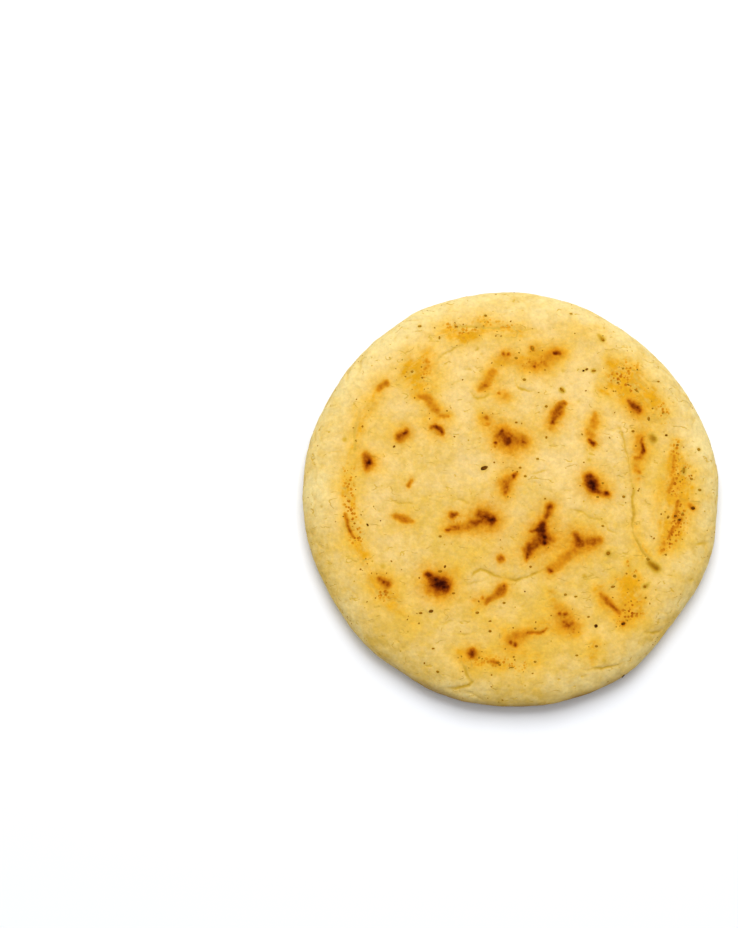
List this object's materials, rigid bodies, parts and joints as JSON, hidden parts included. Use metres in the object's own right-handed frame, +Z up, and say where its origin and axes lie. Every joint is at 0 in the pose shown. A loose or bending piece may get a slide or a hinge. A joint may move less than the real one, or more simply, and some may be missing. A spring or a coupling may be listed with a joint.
{
  "type": "arepa corn cake",
  "caption": "Round, flat griddled cake of maize dough with a soft rounded rim, toasted patches and charred spots on its face.",
  "frame": {"origin": "under the middle of the cake's outline, on the flat underside that it rests on", "axes": "+Z up through the toasted face, +X to the right and +Y to the back for someone who looks at that face"},
  "size_m": [0.1106, 0.112, 0.0123],
  "materials": {
    "griddled_dough": "soft satin crust, golden and charred where it touched the griddle",
    "char_flecks": "dull, burnt",
    "bran_flecks": "dull, husk-like"
  },
  "bodies": {
    "root": {"arepa": "griddled_dough"}
  },
  "joints": []
}
